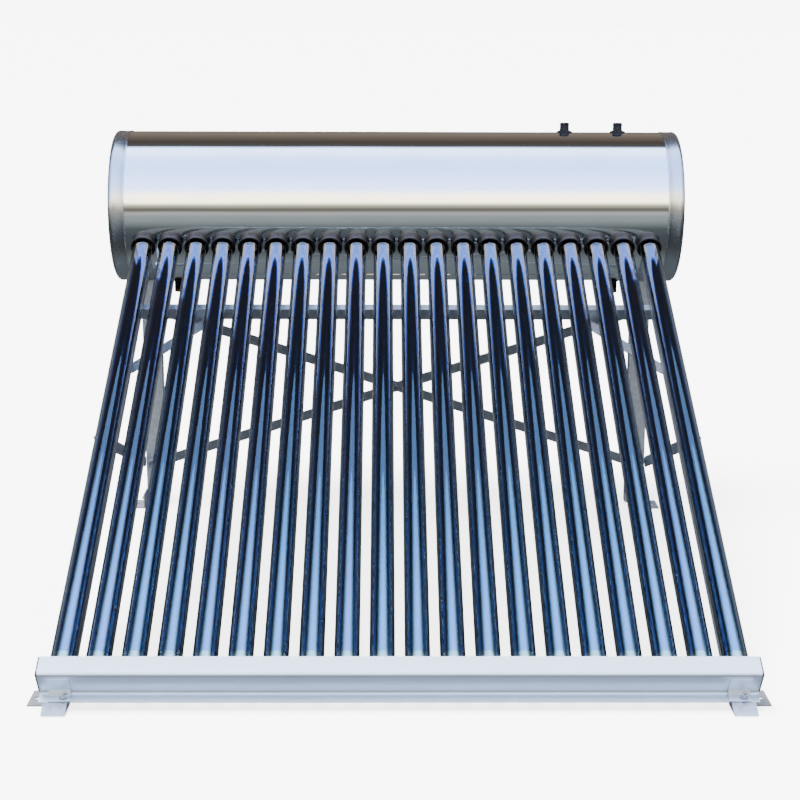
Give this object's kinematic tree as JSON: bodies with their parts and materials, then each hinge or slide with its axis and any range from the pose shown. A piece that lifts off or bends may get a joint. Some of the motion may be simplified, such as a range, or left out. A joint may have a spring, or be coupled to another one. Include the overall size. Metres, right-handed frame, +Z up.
{
  "type": "solar water heater",
  "caption": "Thermosiphon solar water heater: evacuated glass tubes run up into a horizontal polished steel tank on a galvanised angle frame.",
  "frame": {"origin": "on the ground under the middle of the whole heater's box", "axes": "+X along the tank to the right seen from the low front, +Y from the low front to the tank at the back, +Z up"},
  "size_m": [1.731, 2.0575, 1.1995],
  "materials": {
    "mirror_steel": "mirror-polished stainless steel sheet",
    "satin_steel": "bright drawn stainless steel",
    "tube_glass": "clear borosilicate over a dark blue-black absorber coating",
    "galvanised": "galvanised steel section with a faint spangle",
    "white_rail": "pale satin sheet",
    "foam": "rigid polyurethane foam",
    "black_rubber": "moulded black rubber or plastic",
    "red_plastic": "brown-red moulded plug",
    "blue_plastic": "dark blue moulded plug"
  },
  "bodies": {
    "root": {"outer_shell": "mirror_steel", "end_cap_left": "satin_steel", "end_cap_right": "satin_steel", "inner_tank": "satin_steel", "foam_insulation": "foam", "vent_socket": "satin_steel", "fill_socket": "satin_steel", "hot_socket": "black_rubber", "cold_socket": "black_rubber", "bottom_rail": "white_rail", "rail_clip_left": "white_rail", "rail_clip_right": "white_rail", "rail_end_cap_left": "black_rubber", "rail_end_cap_right": "black_rubber", "cross_brace_bolt": "satin_steel", "side_rail_left": "galvanised", "side_rail_right": "galvanised", "cradle_left": "galvanised", "cradle_right": "galvanised", "rear_leg_left": "galvanised", "rear_leg_right": "galvanised", "rear_crossbar": "galvanised", "cross_brace_a": "galvanised", "cross_brace_b": "galvanised", "knee_brace_left": "galvanised", "knee_brace_right": "galvanised", "side_brace_left": "galvanised", "side_brace_right": "galvanised", "foot_front_left": "galvanised", "foot_front_right": "galvanised", "foot_rear_left": "galvanised", "foot_rear_right": "galvanised"},
    "tube_01": {"glass_tube_01": "tube_glass"},
    "tube_02": {"glass_tube_02": "tube_glass"},
    "tube_03": {"glass_tube_03": "tube_glass"},
    "tube_04": {"glass_tube_04": "tube_glass"},
    "tube_05": {"glass_tube_05": "tube_glass"},
    "tube_06": {"glass_tube_06": "tube_glass"},
    "tube_07": {"glass_tube_07": "tube_glass"},
    "tube_08": {"glass_tube_08": "tube_glass"},
    "tube_09": {"glass_tube_09": "tube_glass"},
    "tube_10": {"glass_tube_10": "tube_glass"},
    "tube_11": {"glass_tube_11": "tube_glass"},
    "tube_12": {"glass_tube_12": "tube_glass"},
    "tube_13": {"glass_tube_13": "tube_glass"},
    "tube_14": {"glass_tube_14": "tube_glass"},
    "tube_15": {"glass_tube_15": "tube_glass"},
    "tube_16": {"glass_tube_16": "tube_glass"},
    "tube_17": {"glass_tube_17": "tube_glass"},
    "tube_18": {"glass_tube_18": "tube_glass"},
    "tube_19": {"glass_tube_19": "tube_glass"},
    "tube_20": {"glass_tube_20": "tube_glass"},
    "vent_cap_body": {"vent_cap": "black_rubber"},
    "fill_cap_body": {"fill_cap": "black_rubber"},
    "hot_plug_body": {"hot_plug": "red_plastic"},
    "cold_plug_body": {"cold_plug": "blue_plastic"}
  },
  "joints": [
    {"name": "tube_01_slide", "type": "slide", "parent": "root", "child": "tube_01", "axis": [0, 0.8949, 0.4462], "range_m": [0, 0.02]},
    {"name": "tube_02_slide", "type": "slide", "parent": "root", "child": "tube_02", "axis": [0, 0.8949, 0.4462], "range_m": [0, 0.02]},
    {"name": "tube_03_slide", "type": "slide", "parent": "root", "child": "tube_03", "axis": [0, 0.8949, 0.4462], "range_m": [0, 0.02]},
    {"name": "tube_04_slide", "type": "slide", "parent": "root", "child": "tube_04", "axis": [0, 0.8949, 0.4462], "range_m": [0, 0.02]},
    {"name": "tube_05_slide", "type": "slide", "parent": "root", "child": "tube_05", "axis": [0, 0.8949, 0.4462], "range_m": [0, 0.02]},
    {"name": "tube_06_slide", "type": "slide", "parent": "root", "child": "tube_06", "axis": [0, 0.8949, 0.4462], "range_m": [0, 0.02]},
    {"name": "tube_07_slide", "type": "slide", "parent": "root", "child": "tube_07", "axis": [0, 0.8949, 0.4462], "range_m": [0, 0.02]},
    {"name": "tube_08_slide", "type": "slide", "parent": "root", "child": "tube_08", "axis": [0, 0.8949, 0.4462], "range_m": [0, 0.02]},
    {"name": "tube_09_slide", "type": "slide", "parent": "root", "child": "tube_09", "axis": [0, 0.8949, 0.4462], "range_m": [0, 0.02]},
    {"name": "tube_10_slide", "type": "slide", "parent": "root", "child": "tube_10", "axis": [0, 0.8949, 0.4462], "range_m": [0, 0.02]},
    {"name": "tube_11_slide", "type": "slide", "parent": "root", "child": "tube_11", "axis": [0, 0.8949, 0.4462], "range_m": [0, 0.02]},
    {"name": "tube_12_slide", "type": "slide", "parent": "root", "child": "tube_12", "axis": [0, 0.8949, 0.4462], "range_m": [0, 0.02]},
    {"name": "tube_13_slide", "type": "slide", "parent": "root", "child": "tube_13", "axis": [0, 0.8949, 0.4462], "range_m": [0, 0.02]},
    {"name": "tube_14_slide", "type": "slide", "parent": "root", "child": "tube_14", "axis": [0, 0.8949, 0.4462], "range_m": [0, 0.02]},
    {"name": "tube_15_slide", "type": "slide", "parent": "root", "child": "tube_15", "axis": [0, 0.8949, 0.4462], "range_m": [0, 0.02]},
    {"name": "tube_16_slide", "type": "slide", "parent": "root", "child": "tube_16", "axis": [0, 0.8949, 0.4462], "range_m": [0, 0.02]},
    {"name": "tube_17_slide", "type": "slide", "parent": "root", "child": "tube_17", "axis": [0, 0.8949, 0.4462], "range_m": [0, 0.02]},
    {"name": "tube_18_slide", "type": "slide", "parent": "root", "child": "tube_18", "axis": [0, 0.8949, 0.4462], "range_m": [0, 0.02]},
    {"name": "tube_19_slide", "type": "slide", "parent": "root", "child": "tube_19", "axis": [0, 0.8949, 0.4462], "range_m": [0, 0.02]},
    {"name": "tube_20_slide", "type": "slide", "parent": "root", "child": "tube_20", "axis": [0, 0.8949, 0.4462], "range_m": [0, 0.02]},
    {"name": "vent_cap_pull", "type": "slide", "parent": "root", "child": "vent_cap_body", "axis": [0, 0, 1], "range_m": [0, 0.03]},
    {"name": "fill_cap_pull", "type": "slide", "parent": "root", "child": "fill_cap_body", "axis": [0, 0, 1], "range_m": [0, 0.03]},
    {"name": "hot_plug_pull", "type": "slide", "parent": "root", "child": "hot_plug_body", "axis": [0, 0, -1], "range_m": [0, 0.025]},
    {"name": "cold_plug_pull", "type": "slide", "parent": "root", "child": "cold_plug_body", "axis": [0, 0, -1], "range_m": [0, 0.025]}
  ]
}
